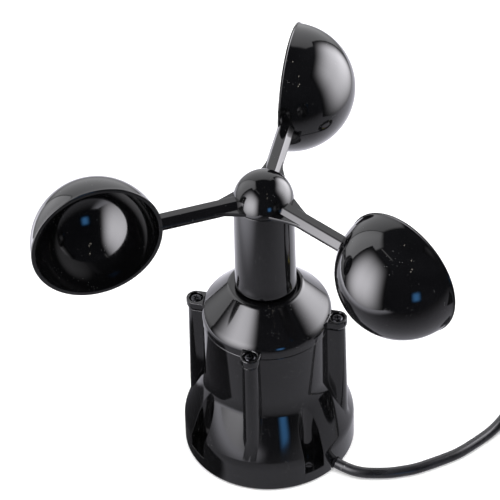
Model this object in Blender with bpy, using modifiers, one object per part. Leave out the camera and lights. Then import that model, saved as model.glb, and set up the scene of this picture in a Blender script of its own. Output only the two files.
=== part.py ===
"""Three-cup anemometer with a spinning rotor, as an assembly of separate parts.

Frame: metres, +Z up, origin at the middle of the bottom face. The screw columns stand on +X, +Y, -X
and -Y, the mounting niches between them. The rotor turns about the Z axis.
"""
import math

import bmesh
import bpy
from mathutils import Matrix, Vector

MM = 0.001
GAP = 0.3                      # clearance between touching parts

# Heights (mm)
COVER_TOP = 3.0
SKIRT_BOTTOM = COVER_TOP + GAP
NICHE_FLOOR = 6.4
FLARE_Z = 38.0                 # where the foot's cone would meet the body's wall
SEAM_Z = 67.6
RIM_BOTTOM = SEAM_Z + GAP
RIM_TOP = 72.8
LUG_TOP = 72.2
SEAT_Z = 70.5
SHOULDER_Z = 85.8
LOWER_BEARING_Z = 90.0
UPPER_BEARING_Z = 113.0
NECK_TOP = 120.5
SLEEVE_BOTTOM = 87.2
SLEEVE_TOP = 131.0
ARM_Z = 132.2
DOME_Z = 131.9
CUP_Z = 132.0
ENCODER_Z = 57.0
BOARD_Z = 48.5

# Radii and widths (mm)
COVER_R = 35.0
SKIRT_R = 35.9
FLARE_TILT = math.radians(20.6)
FLARE_FILLET = 20.0
BODY_R = 26.8
BODY_WALL = 2.4
RIM_R = 27.0
CONE_TOP_R = 15.2
NECK_R = 10.2
BEARING_R = 8.0
BEARING_H = 5.0
BORE_R = BEARING_R + GAP
SEAT_R = 6.4
SPINDLE_R = 2.2
SLEEVE_R_BOTTOM = 12.9
SLEEVE_R_TOP = 12.35
SLEEVE_INNER_R = 11.2
DOME_R = 12.4
CORE_R = SLEEVE_INNER_R - GAP
SCREW_CIRCLE_R = 30.0
LUG_R = 4.15
COLUMN_R_TOP = 3.4
COLUMN_R_FOOT = 4.05
SHANK_R = 1.35
HEAD_R = 2.6
INSERT_R = 2.0
NICHE_HALF = 4.7
NICHE_CENTRE_R = 32.3
MOUNT_CIRCLE_R = 31.0
MOUNT_HOLE_R = 2.35
BOARD_R = 21.5
PILLAR_CIRCLE_R = 17.5

# Rotor
ARMS = 3
REST_TURN = math.radians(0.9)  # how far the resting rotor is turned past the +Y column
CUP_PATH_R = 70.8
CUP_AHEAD = 3.45               # the cup's rim plane lies this far ahead of its arm
CUP_R = 27.0
CUP_WALL = 1.2
LIP = 0.4
LIP_DEPTH = 0.7
ARM_R = 3.75                   # from the six-sided arm's middle to its corners
GUSSET_THICK = 1.8
GUSSET_REACH = 20.4
GUSSET_HALF = 8.3

# Cable
CABLE_R = 2.3
EXIT_TURN = math.radians(-26.5)
EXIT_Z = 3.2
GROMMET_IN = 31.0
GROMMET_OUT = 36.4
COIL_CENTRE = (132.7, 32.5)
COIL_MID_R = 27.5
COIL_PITCH = 4.7
COIL_TURNS_WIDE = 3
COIL_TURNS_HIGH = 3
TAIL_START = math.radians(250)
TAIL_TURN = math.radians(-62)
CORE_TURN = math.radians(-36)
CORE_WIRE_R = 0.6
TIE_TURN = math.radians(20)

# Route of the loose cable on the floor, x and y, from the grommet to the coil
CABLE_ROUTE = (
    (36.2, -17.6), (40.5, -18.7), (45.2, -18.8), (50.2, -17.8), (55.5, -16.5), (60.5, -14.5),
    (65.5, -12.0), (70.3, -8.6), (76.3, -3.9), (82.0, 1.3), (88.6, 9.9), (92.9, 16.6),
    (96.2, 24.2),
)

STEPS = 40                     # segments round a large turned part
WIDE_STEPS = 48                # segments round the housing and the cups
FACET_TURN = 0.11              # keeps cutters' corners off the seams of turned parts
SMALL_STEPS = 14               # segments round a screw or a pin


# ---------------------------------------------------------------- scene and materials

def clear_scene():
    for scene_object in list(bpy.data.objects):
        bpy.data.objects.remove(scene_object, do_unlink=True)


def make_collection(name):
    collection = bpy.data.collections.new(name)
    bpy.context.scene.collection.children.link(collection)
    return collection


def make_material(name, colour, roughness, metallic):
    material = bpy.data.materials.new(name)
    material.use_nodes = True
    shader = material.node_tree.nodes["Principled BSDF"]
    shader.inputs["Base Color"].default_value = (*colour, 1.0)
    shader.inputs["Roughness"].default_value = roughness
    shader.inputs["Metallic"].default_value = metallic
    material.diffuse_color = (*colour, 1.0)
    return material


clear_scene()
PARTS = make_collection("cup_anemometer")
CUTTERS = make_collection("cutters")

BLACK_PLASTIC = make_material("gloss_black_plastic", (0.012, 0.012, 0.014), 0.14, 0.0)
CABLE_SKIN = make_material("cable_jacket", (0.014, 0.014, 0.015), 0.42, 0.0)
BLACK_RUBBER = make_material("black_rubber", (0.02, 0.02, 0.02), 0.6, 0.0)
DARK_SCREW = make_material("blackened_steel", (0.10, 0.10, 0.11), 0.32, 1.0)
STEEL = make_material("bright_steel", (0.62, 0.62, 0.64), 0.25, 1.0)
BRASS = make_material("brass", (0.74, 0.55, 0.25), 0.3, 1.0)
BOARD_GREEN = make_material("board_laminate", (0.02, 0.16, 0.07), 0.4, 0.0)
MATTE_PLASTIC = make_material("matte_plastic", (0.03, 0.03, 0.032), 0.5, 0.0)
NYLON = make_material("white_nylon", (0.75, 0.75, 0.72), 0.45, 0.0)
COPPER_WIRE = make_material("tinned_core", (0.55, 0.20, 0.14), 0.4, 0.0)


# ---------------------------------------------------------------- building helpers

def place(piece, material, parent=None):
    piece.data.materials.clear()
    piece.data.materials.append(material)
    for collection in list(piece.users_collection):
        collection.objects.unlink(piece)
    PARTS.objects.link(piece)
    if parent is not None:
        piece.parent = parent
    return piece


def as_cutter(piece):
    for collection in list(piece.users_collection):
        collection.objects.unlink(piece)
    CUTTERS.objects.link(piece)
    piece.hide_render = True
    piece.display_type = "WIRE"
    return piece


def polar(radius, angle, height=0.0):
    """A point in metres from a radius and height in mm and an angle in radians."""
    return Vector((radius * math.cos(angle), radius * math.sin(angle), height)) * MM


def arc(centre_r, centre_z, radius, start, end, count):
    """Profile points on an arc, angles in degrees measured from +X towards +Z."""
    points = []
    for index in range(count + 1):
        angle = math.radians(start + (end - start) * index / count)
        points.append((centre_r + radius * math.cos(angle), centre_z + radius * math.sin(angle)))
    return points


def turned(name, profile, closed=True, steps=STEPS):
    """A turned body: profile points (radius, height) in mm, down the outer side, spun about Z."""
    mesh = bpy.data.meshes.new(name)
    points = [(radius * MM, 0.0, height * MM) for radius, height in profile]
    edges = [(index, index + 1) for index in range(len(points) - 1)]
    if closed:
        edges.append((len(points) - 1, 0))
    mesh.from_pydata(points, edges, [])
    body = bpy.data.objects.new(name, mesh)
    PARTS.objects.link(body)
    screw = body.modifiers.new("Turn", "SCREW")
    screw.steps = steps
    screw.render_steps = steps
    screw.use_merge_vertices = True
    screw.merge_threshold = 0.000005
    screw.use_smooth_shade = False
    return body


def ring(name, outer, inner, bottom, top, material, steps=STEPS, parent=None, chamfer=0.0):
    """A plain tube or washer with an optional outer chamfer at both ends."""
    profile = [(inner, top), (outer - chamfer, top)]
    if chamfer:
        profile += [(outer, top - chamfer), (outer, bottom + chamfer)]
    profile += [(outer - chamfer, bottom), (inner, bottom)]
    return place(turned(name, profile, steps=steps), material, parent)


def applied(piece):
    """Replace the piece's mesh by what its modifiers make, ready for more Boolean cuts."""
    depsgraph = bpy.context.evaluated_depsgraph_get()
    mesh = bpy.data.meshes.new_from_object(piece.evaluated_get(depsgraph))
    work = bmesh.new()
    work.from_mesh(mesh)
    bmesh.ops.remove_doubles(work, verts=work.verts, dist=0.000002)
    bmesh.ops.recalc_face_normals(work, faces=work.faces)
    work.to_mesh(mesh)
    work.free()
    piece.modifiers.clear()
    piece.data = mesh
    return piece


def merge_flats(piece):
    """Join the coplanar faces that Boolean cuts leave behind."""
    work = bmesh.new()
    work.from_mesh(piece.data)
    bmesh.ops.dissolve_limit(work, angle_limit=math.radians(0.6), verts=work.verts, edges=work.edges)
    bmesh.ops.triangulate(work, faces=[face for face in work.faces if len(face.verts) > 4])
    work.to_mesh(piece.data)
    work.free()
    return piece


def boolean(piece, tool, operation):
    cut = piece.modifiers.new(operation.title(), "BOOLEAN")
    cut.operation = operation
    cut.solver = "EXACT"
    cut.object = tool
    return piece


def cylinder(name, radius, bottom, top, centre=(0.0, 0.0), radius_top=None, steps=SMALL_STEPS):
    """A standing cylinder or cone frustum, sizes in mm."""
    bpy.ops.mesh.primitive_cone_add(
        vertices=steps, radius1=radius * MM, depth=(top - bottom) * MM,
        radius2=(radius if radius_top is None else radius_top) * MM,
        location=(centre[0] * MM, centre[1] * MM, (bottom + top) / 2 * MM),
        rotation=(0.0, 0.0, FACET_TURN))
    body = bpy.context.active_object
    body.name = name
    return body


def block(name, size, centre, turn=0.0):
    """A box with its sides applied, sizes in mm, turned about Z by an angle in radians."""
    bpy.ops.mesh.primitive_cube_add(size=1.0)
    body = bpy.context.active_object
    body.name = name
    body.data.transform(Matrix.Diagonal((size[0] * MM, size[1] * MM, size[2] * MM, 1.0)))
    body.location = Vector(centre) * MM
    body.rotation_euler = (0.0, 0.0, turn)
    return body


def rounded(piece, width, segments=2, angle=40.0):
    bevel = piece.modifiers.new("Round", "BEVEL")
    bevel.width = width * MM
    bevel.segments = segments
    bevel.limit_method = "ANGLE"
    bevel.angle_limit = math.radians(angle)
    return piece


def soft_shade(piece, angle=32.0):
    for polygon in piece.data.polygons:
        polygon.use_smooth = True
    if len(piece.data.polygons):
        piece.data.set_sharp_from_angle(angle=math.radians(angle))


def plate_outline(name, outline, thickness, height):
    """A flat plate from an outline in mm, centred on a height, as a mesh."""
    curve = bpy.data.curves.new(name, "CURVE")
    curve.dimensions = "2D"
    curve.fill_mode = "BOTH"
    curve.extrude = thickness / 2 * MM
    spline = curve.splines.new("POLY")
    spline.points.add(len(outline) - 1)
    spline.use_cyclic_u = True
    for point, (x, y) in zip(spline.points, outline):
        point.co = (x * MM, y * MM, 0.0, 1.0)
    plate = bpy.data.objects.new(name, curve)
    PARTS.objects.link(plate)
    plate.location = (0.0, 0.0, height * MM)
    bpy.context.view_layer.update()
    return curve_to_mesh(plate)


def curve_to_mesh(piece):
    """Swap a curve object for a welded mesh object of the same name and place."""
    depsgraph = bpy.context.evaluated_depsgraph_get()
    mesh = bpy.data.meshes.new_from_object(piece.evaluated_get(depsgraph))
    work = bmesh.new()
    work.from_mesh(mesh)
    bmesh.ops.remove_doubles(work, verts=work.verts, dist=0.000002)
    bmesh.ops.recalc_face_normals(work, faces=work.faces)
    work.to_mesh(mesh)
    work.free()
    name = piece.name
    matrix = piece.matrix_world.copy()
    piece.name = name + "_curve"
    solid = bpy.data.objects.new(name, mesh)
    PARTS.objects.link(solid)
    solid.matrix_world = matrix
    bpy.data.objects.remove(piece, do_unlink=True)
    return solid


def smooth_path(route, spacing):
    """Evenly spaced points, in mm, on a smooth curve through a hand-chosen route."""
    route = [Vector(point) for point in route]
    dense = []
    for index in range(len(route) - 1):
        before = route[max(index - 1, 0)]
        start = route[index]
        end = route[index + 1]
        after = route[min(index + 2, len(route) - 1)]
        for part in range(12):
            t = part / 12
            dense.append(0.5 * (2 * start + (end - before) * t
                                + (2 * before - 5 * start + 4 * end - after) * t * t
                                + (3 * start - before - 3 * end + after) * t ** 3))
    dense.append(route[-1])
    lengths = [0.0]
    for first, second in zip(dense, dense[1:]):
        lengths.append(lengths[-1] + (second - first).length)
    count = max(2, round(lengths[-1] / spacing))
    points = []
    segment = 0
    for index in range(count + 1):
        target = lengths[-1] * index / count
        while segment < len(dense) - 2 and lengths[segment + 1] < target:
            segment += 1
        span = lengths[segment + 1] - lengths[segment]
        points.append(dense[segment].lerp(dense[segment + 1], (target - lengths[segment]) / span))
    return points


def tube(name, points, radius, material, sides=2):
    """A round tube along points in mm: a curve with filled ends."""
    curve = bpy.data.curves.new(name, "CURVE")
    curve.dimensions = "3D"
    curve.bevel_depth = radius * MM
    curve.bevel_resolution = sides
    curve.use_fill_caps = True
    spline = curve.splines.new("POLY")
    spline.points.add(len(points) - 1)
    for point, place_mm in zip(spline.points, points):
        point.co = (place_mm[0] * MM, place_mm[1] * MM, place_mm[2] * MM, 1.0)
    body = bpy.data.objects.new(name, curve)
    return place(body, material)


# ---------------------------------------------------------------- standing parts

def column_angles():
    return [index * math.pi / 2 for index in range(4)]


def niche_angles():
    return [angle + math.pi / 4 for angle in column_angles()]


def grommet_notch(name):
    """Cutter for the grommet's seat at the rim of the foot."""
    radius = (GROMMET_IN + 41.0) / 2
    centre = polar(radius, EXIT_TURN, 2.85) / MM
    return as_cutter(block(name, (41.0 - GROMMET_IN + 2 * GAP, 7.6, 7.7), centre, EXIT_TURN))


def lead_passage(name, radius):
    """Cutter for the passage that takes the cable from the grommet to the inside."""
    bpy.ops.mesh.primitive_cylinder_add(vertices=SMALL_STEPS, radius=radius * MM, depth=16 * MM)
    passage = bpy.context.active_object
    passage.name = name
    passage.rotation_euler = (0.0, math.pi / 2, EXIT_TURN)
    passage.location = polar(26.0, EXIT_TURN, EXIT_Z)
    return as_cutter(passage)


def build_bottom_cover():
    profile = [(0.0, COVER_TOP), (COVER_R - 0.4, COVER_TOP), (COVER_R, COVER_TOP - 0.4),
               (COVER_R, 0.5), (COVER_R - 0.5, 0.0), (0.0, 0.0)]
    cover = place(turned("bottom_cover", profile, closed=False), BLACK_PLASTIC)
    applied(cover)
    for index, angle in enumerate(niche_angles()):
        x, y = MOUNT_CIRCLE_R * math.cos(angle), MOUNT_CIRCLE_R * math.sin(angle)
        boolean(cover, as_cutter(cylinder(f"cut_mount_{index}", MOUNT_HOLE_R, -2, 6, (x, y))), "DIFFERENCE")
    for index, angle in enumerate(column_angles()):
        x, y = SCREW_CIRCLE_R * math.cos(angle), SCREW_CIRCLE_R * math.sin(angle)
        boolean(cover, as_cutter(cylinder(f"cut_shank_{index}", 1.7, -2, 6, (x, y))), "DIFFERENCE")
        boolean(cover, as_cutter(cylinder(f"cut_head_{index}", 3.0, -2, 2.3, (x, y))), "DIFFERENCE")
    boolean(cover, grommet_notch("cut_cover_grommet"), "DIFFERENCE")
    boolean(cover, lead_passage("cut_cover_lead", 2.6), "DIFFERENCE")
    soft_shade(merge_flats(applied(cover)))


def flare_profile():
    """The foot: a wide fillet under the body's wall, a cone, and a soft corner onto the skirt."""
    half = FLARE_FILLET * math.tan(FLARE_TILT / 2)
    points = []
    for step in range(5):
        turn = FLARE_TILT * step / 4
        points.append((BODY_R + FLARE_FILLET * (1 - math.cos(turn)),
                       FLARE_Z + half - FLARE_FILLET * math.sin(turn)))
    foot_z = FLARE_Z - (SKIRT_R - BODY_R) / math.tan(FLARE_TILT)
    points += [(SKIRT_R - 0.45, foot_z + 1.2), (SKIRT_R - 0.12, foot_z + 0.2), (SKIRT_R, foot_z - 0.7)]
    return points


def niche_cutter(name, angle):
    """A standing half-round groove, open to the outside, for a mounting screw and its driver."""
    outline = [(42.0, -NICHE_HALF), (42.0, NICHE_HALF)]
    for step in range(9):
        turn = math.pi / 2 + math.pi * step / 8
        outline.append((NICHE_CENTRE_R + NICHE_HALF * math.cos(turn), NICHE_HALF * math.sin(turn)))
    cutter = plate_outline(name, outline, 44.0 - NICHE_FLOOR, (44.0 + NICHE_FLOOR) / 2)
    cutter.data.transform(cutter.matrix_basis)
    cutter.matrix_basis = Matrix.Identity(4)
    cutter.data.transform(Matrix.Rotation(angle, 4, "Z"))
    return as_cutter(cutter)


def build_housing():
    inner = BODY_R - BODY_WALL
    outer = [(26.2, SEAM_Z), (BODY_R - 0.2, SEAM_Z), (BODY_R, SEAM_Z - 0.3)]
    outer += flare_profile()
    outer += [(SKIRT_R, SKIRT_BOTTOM + 0.4), (SKIRT_R - 0.4, SKIRT_BOTTOM)]
    inside = [(inner, SKIRT_BOTTOM), (inner, 66.2), (26.2, 66.2)]
    shell = place(turned("housing_shell", outer + inside, steps=WIDE_STEPS), BLACK_PLASTIC)
    applied(shell)
    for index, angle in enumerate(column_angles()):
        x, y = SCREW_CIRCLE_R * math.cos(angle), SCREW_CIRCLE_R * math.sin(angle)
        column = cylinder(f"join_column_{index}", COLUMN_R_FOOT, 12.0, SEAM_Z, (x, y), COLUMN_R_TOP, 20)
        boolean(shell, as_cutter(column), "UNION")
        web_r = (SCREW_CIRCLE_R + BODY_R - 0.3) / 2
        centre = polar(web_r, angle, (12.0 + SEAM_Z) / 2) / MM
        web = block(f"join_web_{index}", (SCREW_CIRCLE_R - BODY_R + 0.3, 5.6, SEAM_Z - 12.02), centre, angle)
        boolean(shell, as_cutter(web), "UNION")
    for index, angle in enumerate(niche_angles()):
        boolean(shell, niche_cutter(f"cut_niche_{index}", angle), "DIFFERENCE")
        x, y = MOUNT_CIRCLE_R * math.cos(angle), MOUNT_CIRCLE_R * math.sin(angle)
        boolean(shell, as_cutter(cylinder(f"cut_foot_{index}", MOUNT_HOLE_R, 1, 8, (x, y))), "DIFFERENCE")
    for index, angle in enumerate(column_angles()):
        x, y = SCREW_CIRCLE_R * math.cos(angle), SCREW_CIRCLE_R * math.sin(angle)
        insert_bore = cylinder(f"cut_insert_{index}", INSERT_R + GAP, 57, 70, (x, y))
        boolean(shell, as_cutter(insert_bore), "DIFFERENCE")
        boolean(shell, as_cutter(cylinder(f"cut_thread_{index}", 1.7, 1, 14, (x, y))), "DIFFERENCE")
    boolean(shell, grommet_notch("cut_shell_grommet"), "DIFFERENCE")
    boolean(shell, lead_passage("cut_shell_lead", 2.6), "DIFFERENCE")
    soft_shade(merge_flats(applied(shell)))


def build_top_cap():
    outer = [(BORE_R, NECK_TOP), (NECK_R - 0.5, NECK_TOP), (NECK_R, NECK_TOP - 0.5), (NECK_R, 87.4),
             (NECK_R + 0.9, 86.2), (CONE_TOP_R - 1.2, SHOULDER_Z + 0.1), (CONE_TOP_R, SHOULDER_Z - 0.7)]
    outer += [(RIM_R - 0.6, RIM_TOP + 0.5), (RIM_R - 0.15, RIM_TOP + 0.15), (RIM_R, RIM_TOP - 0.4),
              (RIM_R, RIM_BOTTOM + 0.2), (RIM_R - 0.2, RIM_BOTTOM)]
    inside = [(24.6, RIM_BOTTOM), (24.6, 71.0), (13.6, 82.6), (SEAT_R, 83.4),
              (SEAT_R, LOWER_BEARING_Z - GAP), (BORE_R, LOWER_BEARING_Z - GAP)]
    cap = place(turned("top_cap", outer + inside, steps=WIDE_STEPS), BLACK_PLASTIC)
    applied(cap)
    for index, angle in enumerate(column_angles()):
        x, y = SCREW_CIRCLE_R * math.cos(angle), SCREW_CIRCLE_R * math.sin(angle)
        lug = cylinder(f"join_lug_{index}", LUG_R, RIM_BOTTOM + 1.3, LUG_TOP - 0.3, (x, y), None, 20)
        boolean(cap, as_cutter(lug), "UNION")
        lug_foot = cylinder(f"join_lug_foot_{index}", LUG_R - 0.7, RIM_BOTTOM, RIM_BOTTOM + 1.32, (x, y),
                            LUG_R, 20)
        boolean(cap, as_cutter(lug_foot), "UNION")
        lug_edge = cylinder(f"join_lug_edge_{index}", LUG_R, LUG_TOP - 0.32, LUG_TOP, (x, y), LUG_R - 0.3, 20)
        boolean(cap, as_cutter(lug_edge), "UNION")
        centre = polar(27.5, angle, (RIM_BOTTOM + LUG_TOP) / 2 + 0.5) / MM
        size = (5.0, 2 * LUG_R - 0.7, LUG_TOP - RIM_BOTTOM - 1.04)
        bridge = block(f"join_bridge_{index}", size, centre, angle)
        boolean(cap, as_cutter(bridge), "UNION")
        low_centre = polar(27.4, angle, RIM_BOTTOM + 0.62) / MM
        low_bridge = block(f"join_low_bridge_{index}", (4.8, 2 * LUG_R - 1.5, 1.2), low_centre, angle)
        boolean(cap, as_cutter(low_bridge), "UNION")
    for index, angle in enumerate(column_angles()):
        x, y = SCREW_CIRCLE_R * math.cos(angle), SCREW_CIRCLE_R * math.sin(angle)
        boolean(cap, as_cutter(cylinder(f"cut_seat_{index}", HEAD_R + GAP, SEAT_Z, 76, (x, y))), "DIFFERENCE")
        boolean(cap, as_cutter(cylinder(f"cut_lug_{index}", 1.7, 60, 76, (x, y))), "DIFFERENCE")
    soft_shade(merge_flats(applied(cap)))


def pan_screw(name, x, y, seat, length, up=True):
    """A pan-head screw, shank below its seat with a cross recess, or upside down and plain."""
    sign = 1 if up else -1
    head = [(0.0, seat + 1.7), (1.5, seat + 1.65), (2.15, seat + 1.4), (HEAD_R, seat + 0.8),
            (HEAD_R, seat + 0.05), (SHANK_R, seat + 0.05), (SHANK_R, seat - length + 0.6),
            (SHANK_R - 0.6, seat - length), (0.0, seat - length)]
    screw = place(turned(name, head, closed=False, steps=SMALL_STEPS), DARK_SCREW)
    applied(screw)
    if up:
        for index in range(2):
            centre = (0.0, 0.0, seat + 1.6)
            slot = block(f"cut_{name}_{index}", (3.2, 0.75, 1.8), centre, index * math.pi / 2)
            boolean(screw, as_cutter(slot), "DIFFERENCE")
        applied(screw)
    else:
        screw.data.transform(Matrix.Translation((0, 0, 2 * seat * MM)) @ Matrix.Diagonal((1, -1, -1, 1)))
    screw.data.transform(Matrix.Translation((x * MM, y * MM, 0.0)))
    soft_shade(screw)


def build_screws():
    for index, angle in enumerate(column_angles()):
        x, y = SCREW_CIRCLE_R * math.cos(angle), SCREW_CIRCLE_R * math.sin(angle)
        pan_screw(f"cap_screw_{index + 1}", x, y, SEAT_Z, 11.5)
        pan_screw(f"cover_screw_{index + 1}", x, y, 2.25, 10.5, up=False)
        insert = ring(f"threaded_insert_{index + 1}", INSERT_R, SHANK_R + GAP, 58.5, 67.2, BRASS,
                      SMALL_STEPS, chamfer=0.3)
        insert.location = (x * MM, y * MM, 0.0)


def build_bearings(rotor):
    for name, bottom in (("lower", LOWER_BEARING_Z), ("upper", UPPER_BEARING_Z)):
        top = bottom + BEARING_H
        section = [(4.4, top), (BEARING_R - 0.3, top), (BEARING_R, top - 0.3), (BEARING_R, bottom + 0.3),
                   (BEARING_R - 0.3, bottom), (4.4, bottom), (4.4, bottom + 0.5), (6.6, bottom + 0.5),
                   (6.6, top - 0.5), (4.4, top - 0.5)]
        place(turned(f"bearing_{name}_outer", section, steps=20), STEEL)
        ring(f"bearing_{name}_inner", 4.0, SPINDLE_R + GAP, bottom, top, STEEL, 20, rotor)
    ring("bearing_spacer", BEARING_R, 6.6, LOWER_BEARING_Z + BEARING_H + GAP, UPPER_BEARING_Z - GAP,
         STEEL, 24)
    ring("retaining_ring", BEARING_R, 6.4, UPPER_BEARING_Z + BEARING_H + GAP, 119.4, DARK_SCREW, 24)


def build_electronics():
    pillars = [math.radians(30 + 120 * index) for index in range(3)]
    board = place(cylinder("circuit_board", BOARD_R, BOARD_Z, BOARD_Z + 1.6, steps=40), BOARD_GREEN)
    boolean(board, as_cutter(cylinder("cut_board_middle", 3.5, BOARD_Z - 2, BOARD_Z + 4)), "DIFFERENCE")
    for index, angle in enumerate(pillars):
        x, y = PILLAR_CIRCLE_R * math.cos(angle), PILLAR_CIRCLE_R * math.sin(angle)
        boolean(board, as_cutter(cylinder(f"cut_board_{index}", 1.7, BOARD_Z - 2, BOARD_Z + 4, (x, y))),
                "DIFFERENCE")
        pillar = place(cylinder(f"board_pillar_{index + 1}", 2.6, BOARD_Z + 1.6 + GAP, 75.2, (x, y), None, 6),
                       BRASS)
        boolean(pillar, as_cutter(cylinder(f"cut_pillar_{index}", 1.6, 40, 58, (x, y))), "DIFFERENCE")
        applied(pillar)
        pan_screw(f"board_screw_{index + 1}", x, y, BOARD_Z - GAP, 7.0, up=False)
    applied(board)
    fork = place(block("sensor_fork", (7.0, 8.0, 11.0), (14.5, 0.0, BOARD_Z + 1.9 + 5.5)), MATTE_PLASTIC)
    slot = as_cutter(block("cut_fork", (7.0, 12.0, 2.4), (12.0, 0.0, ENCODER_Z + 0.6)))
    boolean(fork, slot, "DIFFERENCE")
    applied(fork)
    terminals = block("terminal_block", (8.0, 14.0, 8.0), (-8.0, 0.0, BOARD_Z - GAP - 4.0))
    rounded(place(terminals, BOARD_GREEN), 0.5)


def build_gasket():
    ring("cap_gasket", 25.8, 24.7, 66.5, 67.5, BLACK_RUBBER, STEPS)


# ---------------------------------------------------------------- rotor

def build_spindle(rotor):
    spindle = [(0.0, 137.0), (1.7, 137.0), (SPINDLE_R, 136.4), (SPINDLE_R, 55.6), (1.7, 55.0), (0.0, 55.0)]
    place(turned("spindle", spindle, closed=False, steps=24), STEEL, rotor)
    ring("encoder_disc", 14.0, 3.3, ENCODER_Z, ENCODER_Z + 1.2, MATTE_PLASTIC, 40, rotor)
    ring("encoder_collar", 5.0, SPINDLE_R + GAP, ENCODER_Z + 1.5, ENCODER_Z + 7.5, BRASS, 24, rotor, 0.3)
    ring("spindle_clip", 4.2, SPINDLE_R + GAP, 88.0, LOWER_BEARING_Z - GAP, DARK_SCREW, 24, rotor)
    core = ring("hub_core", CORE_R, SPINDLE_R + GAP, 121.6, 130.6, MATTE_PLASTIC, 24, rotor, 0.5)
    soft_shade(core)
    ring("clamp_washer", 5.0, SPINDLE_R + GAP, 130.9, 131.7, STEEL, 24, rotor)
    nut = place(cylinder("lock_nut", 4.5, 132.0, 135.6, (0.0, 0.0), None, 6), STEEL, rotor)
    boolean(nut, as_cutter(cylinder("cut_nut", SPINDLE_R + GAP, 125, 140)), "DIFFERENCE")
    applied(nut)


def build_hub(rotor):
    sleeve = [(SLEEVE_INNER_R, SLEEVE_TOP), (SLEEVE_R_TOP - 0.25, SLEEVE_TOP),
              (SLEEVE_R_TOP, SLEEVE_TOP - 0.3),
              (SLEEVE_R_BOTTOM, SLEEVE_BOTTOM + 0.5), (SLEEVE_R_BOTTOM - 0.4, SLEEVE_BOTTOM),
              (SLEEVE_INNER_R + 0.2, SLEEVE_BOTTOM), (SLEEVE_INNER_R, SLEEVE_BOTTOM + 0.3)]
    soft_shade(applied(place(turned("rotor_sleeve", sleeve, steps=STEPS), BLACK_PLASTIC, rotor)))
    wall = 1.6
    dome_bottom = SLEEVE_TOP + GAP
    inner_r = DOME_R - wall
    dome = [(inner_r * math.cos(math.radians(turn)), DOME_Z + inner_r * math.sin(math.radians(turn)))
            for turn in range(90, -1, -15)]
    dome[0] = (0.0, DOME_Z + inner_r)
    dome += [(inner_r, dome_bottom), (DOME_R - 0.2, dome_bottom), (DOME_R, dome_bottom + 0.2)]
    outside = arc(0.0, DOME_Z, DOME_R, 0.0, 90.0, 9)
    outside[-1] = (0.0, DOME_Z + DOME_R)
    profile = list(reversed(dome + outside))
    shell = place(turned("hub_dome", profile, closed=False, steps=36), BLACK_PLASTIC, rotor)
    soft_shade(applied(shell))


def arm_frame(index):
    return math.pi / 2 + index * math.tau / ARMS


def dome_clearance(name):
    """Cutter that keeps an arm's root clear of the dome and the sleeve."""
    reach = DOME_R + GAP
    profile = arc(0.0, DOME_Z, reach, 90.0, 0.0, 10)
    profile[0] = (0.0, DOME_Z + reach)
    profile += [(reach + 0.02, 115.0), (0.0, 115.0)]
    cutter = turned(name, profile, closed=False, steps=STEPS)
    applied(cutter)
    return as_cutter(cutter)


def six_sided_bar(name, radius, start, end, height):
    """A bar along X whose section is a regular hexagon with flats above and below, sizes in mm."""
    bpy.ops.mesh.primitive_cylinder_add(vertices=6, radius=radius * MM, depth=(end - start) * MM)
    bar = bpy.context.active_object
    bar.name = name
    bar.data.transform(Matrix.Rotation(math.pi / 2, 4, "Y"))
    bar.data.transform(Matrix.Translation(Vector(((start + end) / 2, 0.0, height)) * MM))
    return bar


def build_arms(rotor):
    root_cutter = dome_clearance("cut_arm_root")
    for index in range(ARMS):
        angle = arm_frame(index)
        bar = six_sided_bar(f"arm_{index + 1}", ARM_R, 6.0, 50.0, ARM_Z)
        place(rounded(bar, 0.35, 2), BLACK_PLASTIC)
        applied(bar)
        outline = [(8.0, -GUSSET_HALF), (GUSSET_REACH, -ARM_R + 0.2), (GUSSET_REACH, ARM_R - 0.2),
                   (8.0, GUSSET_HALF)]
        gusset = plate_outline(f"join_gusset_{index}", outline, GUSSET_THICK, ARM_Z)
        boolean(bar, as_cutter(gusset), "UNION")
        boolean(bar, root_cutter, "DIFFERENCE")
        bpy.ops.mesh.primitive_uv_sphere_add(segments=40, ring_count=24, radius=(CUP_R + GAP) * MM)
        ball = bpy.context.active_object
        ball.name = f"cut_cup_seat_{index}"
        ball.location = Vector((CUP_PATH_R, CUP_AHEAD, CUP_Z)) * MM
        boolean(bar, as_cutter(ball), "DIFFERENCE")
        rim = cylinder(f"cut_cup_rim_{index}", CUP_R + LIP + GAP, 0.0, 3.0, steps=48)
        rim.rotation_euler = (math.pi / 2, 0.0, 0.0)
        rim.location = Vector((CUP_PATH_R, CUP_AHEAD + 0.25, CUP_Z)) * MM
        boolean(bar, as_cutter(rim), "DIFFERENCE")
        applied(bar)
        bar.data.transform(bar.matrix_basis)
        bar.matrix_basis = Matrix.Identity(4)
        bar.data.transform(Matrix.Rotation(angle, 4, "Z"))
        soft_shade(bar)
        bar.parent = rotor
        build_cup(index, angle, rotor)


def build_cup(index, angle, rotor):
    """A hemispherical cup, opening forwards along the path that the rotor turns."""
    inner_r = CUP_R - CUP_WALL
    inside = arc(0.0, 0.0, inner_r, -90.0, 0.0, 7)
    inside[0] = (0.0, -inner_r)
    rim = [(CUP_R + LIP - 0.3, 0.0), (CUP_R + LIP, -0.3), (CUP_R + LIP, -LIP_DEPTH),
           (CUP_R + 0.02, -LIP_DEPTH - 0.25)]
    outside = arc(0.0, 0.0, CUP_R, -10.0, -90.0, 8)
    outside[-1] = (0.0, -CUP_R)
    cup = place(turned(f"cup_{index + 1}", inside + rim + outside, closed=False, steps=36), BLACK_PLASTIC)
    applied(cup)
    forwards = Matrix.Rotation(angle, 4, "Z")
    tip = Matrix.Rotation(-math.pi / 2, 4, "X")
    shift = Matrix.Translation(Vector((CUP_PATH_R, CUP_AHEAD, CUP_Z)) * MM)
    cup.data.transform(forwards @ shift @ tip)
    soft_shade(cup)
    cup.parent = rotor


# ---------------------------------------------------------------- cable

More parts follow.
